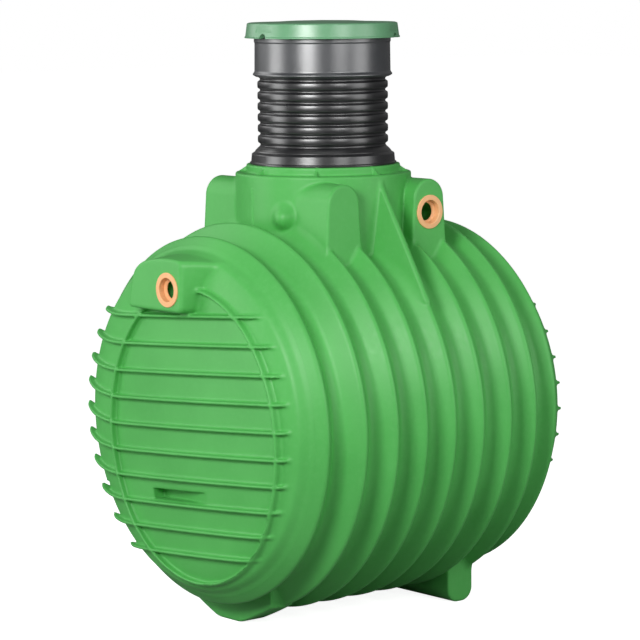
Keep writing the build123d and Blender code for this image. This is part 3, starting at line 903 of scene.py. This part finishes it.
def cutter(name, kind, turn):
    shape = bmesh.new()
    if kind == "notch":
        radius = lidLook["notchRadius"]
        bmesh.ops.create_cone(shape, cap_ends=True, segments=lidLook["notchSegments"], radius1=radius,
                              radius2=radius, depth=lidLook["notchLength"])
        place = Matrix.Translation((lidLook["notchSide"], 0, axisHeight + lidLook["notchHeight"]))
        place = place @ Matrix.Rotation(math.pi / 2, 4, "Y")
    else:
        bmesh.ops.create_cube(shape, size=1)
        middle = (lidLook["panelLow"] + lidLook["panelHigh"]) / 2
        tall = lidLook["panelHigh"] - lidLook["panelLow"]
        place = Matrix.Translation((lidLook["panelSide"], 0, axisHeight + middle))
        place = place @ Matrix.Diagonal((lidLook["panelThickness"], lidLook["panelWidth"], tall, 1))
    shape.transform(Matrix.Rotation(math.radians(turn), 4, "Z") @ place)
    mesh = bpy.data.meshes.new(name)
    shape.to_mesh(mesh)
    shape.free()
    tool = bpy.data.objects.new(name, mesh)
    scene.collection.objects.link(tool)
    return tool


tools = [cutter(kind + str(turn), kind, turn)
         for turn in lidLook["notchTurns"] for kind in ("notch", "panel")]
for tool in tools:
    cut = lidShell.modifiers.new(tool.name, "BOOLEAN")
    cut.operation = "DIFFERENCE"
    cut.object = tool
bpy.context.view_layer.update()
carved = bpy.data.meshes.new_from_object(lidShell.evaluated_get(bpy.context.evaluated_depsgraph_get()))
lidShell.modifiers.clear()
lidShell.data = carved
for tool in tools:
    bpy.data.objects.remove(tool)
lidShell.data.materials.clear()
lidShell.data.materials.append(lidGreen)
for edge in lidShell.data.edges:
    edge.use_edge_sharp = False
lidShell.data.set_sharp_from_angle(angle=lidLook["sharpFrom"])
dressed(lidShell, "green_lid", "lid", body="lid")
print("turned pieces made")

sealLook = {  # heights from the wall that the seal sits in
    "turns": 96,
    "corners": [
        (0.052, -0.0075, 0.0035), (0.0755, -0.0065, 0.0045), (0.0758, 0, 0.0005), (0.0615, 0, 0.0003),
        (0.0615, 0.033, 0.001), (0.040, 0.033, 0.0015), (0.040, 0.028, 0.0015), (0.052, 0.022, 0.003),
    ],
    "recess": 0.008,
}
seals = {
    "frontPortSeal": {"node": "front_port_seal", "inward": (1, 0, 0)},
    "rearPortSeal": {"node": "rear_port_seal", "inward": (-1, 0, 0)},
    "sidePortSealFront": {"node": "side_port_seal_front", "inward": (0, 1, 0)},
    "sidePortSealBack": {"node": "side_port_seal_back", "inward": (0, -1, 0)},
}
for name, look in seals.items():
    low, high = (Vector(corner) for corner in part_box(look["node"]))
    way = Vector(look["inward"])
    outside = (low + high) / 2 - way * (abs((high - low).dot(way)) / 2)
    turnTo = way.to_track_quat("Z", "Y").to_matrix().to_4x4()
    seal = turned(name, sealLook, sealOrange, 0)
    seal.data.transform(Matrix.Translation(outside + way * sealLook["recess"]) @ turnTo)
    dressed(seal, "orange_rubber", look["node"])
print("seals made")


# Camera, lights and stage

view = {
    "place": (-8.1907, -9.7149, 2.8581),
    "right": (0.7649046, -0.6440973, -0.00772131),
    "up": (0.08442744, 0.08836477, 0.99250374),
    "forward": (0.63858669, 0.75982257, -0.12197011),
    "lens": 159.0,
    "sensor": 36,
    "far": 100,
}
camera = bpy.data.objects.new("camera", bpy.data.cameras.new("camera"))
scene.collection.objects.link(camera)
scene.camera = camera
camera.data.lens = view["lens"]
camera.data.sensor_width = view["sensor"]
camera.data.clip_end = view["far"]
turn = Matrix((view["right"], view["up"], [-v for v in view["forward"]])).transposed()
camera.matrix_world = Matrix.Translation(view["place"]) @ turn.to_4x4()

lamps = {
    "left": {"side": -84, "rise": 10, "size": (3.0, 4.0), "power": 125},
    "right": {"side": 66, "rise": 14, "size": (3.0, 4.0), "power": 85},
    "top": {"side": 0, "rise": 85, "size": (4.0, 4.0), "power": 35},
    "front": {"side": -24, "rise": 22, "size": (2.2, 2.0), "power": 245},
    "frontRight": {"side": 30, "rise": 22, "size": (2.4, 2.0), "power": 90},
    "backLeft": {"side": -120, "rise": 30, "size": (3.0, 4.0), "power": 60},
}
lampReach = 6.5
lampAim = Vector((0, 0, 1.2))
cameraTurn = -130.1  # degrees about Z; a lamp's side is counted from it
for name, lamp in lamps.items():
    data = bpy.data.lights.new(name, "AREA")
    data.shape = "RECTANGLE"
    data.size, data.size_y = lamp["size"]
    data.energy = lamp["power"]
    light = bpy.data.objects.new(name, data)
    scene.collection.objects.link(light)
    angle, rise = math.radians(lamp["side"] + cameraTurn), math.radians(lamp["rise"])
    way = Vector((math.cos(angle) * math.cos(rise), math.sin(angle) * math.cos(rise), math.sin(rise)))
    light.location = lampAim + way * lampReach
    light.rotation_euler = (-way).to_track_quat("-Z", "Y").to_euler()

backdrop = {
    "white": (1, 1, 1, 1), "seen": 1.0, "fill": 0.12, "floor": (0.9, 0.9, 0.9, 1), "floorRoughness": 0.9,
    "floorGlow": 0.9, "floorShade": (0.30, 0.30, 0.30, 1), "floorReach": 60,
}
world = bpy.data.worlds.new("studio")
scene.world = world
world.use_nodes = True
tree = world.node_tree
tree.nodes.clear()
rays = tree.nodes.new("ShaderNodeLightPath")
seen = tree.nodes.new("ShaderNodeMath")
seen.operation = "MAXIMUM"
tree.links.new(rays.outputs["Is Camera Ray"], seen.inputs[0])
tree.links.new(rays.outputs["Is Transmission Ray"], seen.inputs[1])
white = tree.nodes.new("ShaderNodeBackground")
fill = tree.nodes.new("ShaderNodeBackground")
for background, strength in ((white, backdrop["seen"]), (fill, backdrop["fill"])):
    background.inputs["Color"].default_value = backdrop["white"]
    background.inputs["Strength"].default_value = strength
mix = tree.nodes.new("ShaderNodeMixShader")
output = tree.nodes.new("ShaderNodeOutputWorld")
tree.links.new(seen.outputs[0], mix.inputs[0])
tree.links.new(fill.outputs[0], mix.inputs[1])
tree.links.new(white.outputs[0], mix.inputs[2])
tree.links.new(mix.outputs[0], output.inputs["Surface"])

floorMaterial = bpy.data.materials.new("studioFloor")
floorMaterial.use_nodes = True
tree = floorMaterial.node_tree
shader = tree.nodes["Principled BSDF"]
shader.inputs["Base Color"].default_value = backdrop["floor"]
shader.inputs["Roughness"].default_value = backdrop["floorRoughness"]
rays = tree.nodes.new("ShaderNodeLightPath")
glow = tree.nodes.new("ShaderNodeEmission")
glow.inputs["Strength"].default_value = backdrop["floorGlow"]
matt = tree.nodes.new("ShaderNodeBsdfDiffuse")
matt.inputs["Color"].default_value = backdrop["floorShade"]
add = tree.nodes.new("ShaderNodeAddShader")
mix = tree.nodes.new("ShaderNodeMixShader")
tree.links.new(shader.outputs[0], add.inputs[0])
tree.links.new(glow.outputs[0], add.inputs[1])
tree.links.new(rays.outputs["Is Camera Ray"], mix.inputs[0])
tree.links.new(matt.outputs[0], mix.inputs[1])
tree.links.new(add.outputs[0], mix.inputs[2])
tree.links.new(mix.outputs[0], tree.nodes["Material Output"].inputs["Surface"])
reach = backdrop["floorReach"]
floorCorners = [(-reach, -reach, 0), (reach, -reach, 0), (reach, reach, 0), (-reach, reach, 0)]
floor = meshObject("studioFloor", floorCorners, [(0, 1, 2, 3)], floorMaterial, False)
print("stage ready")
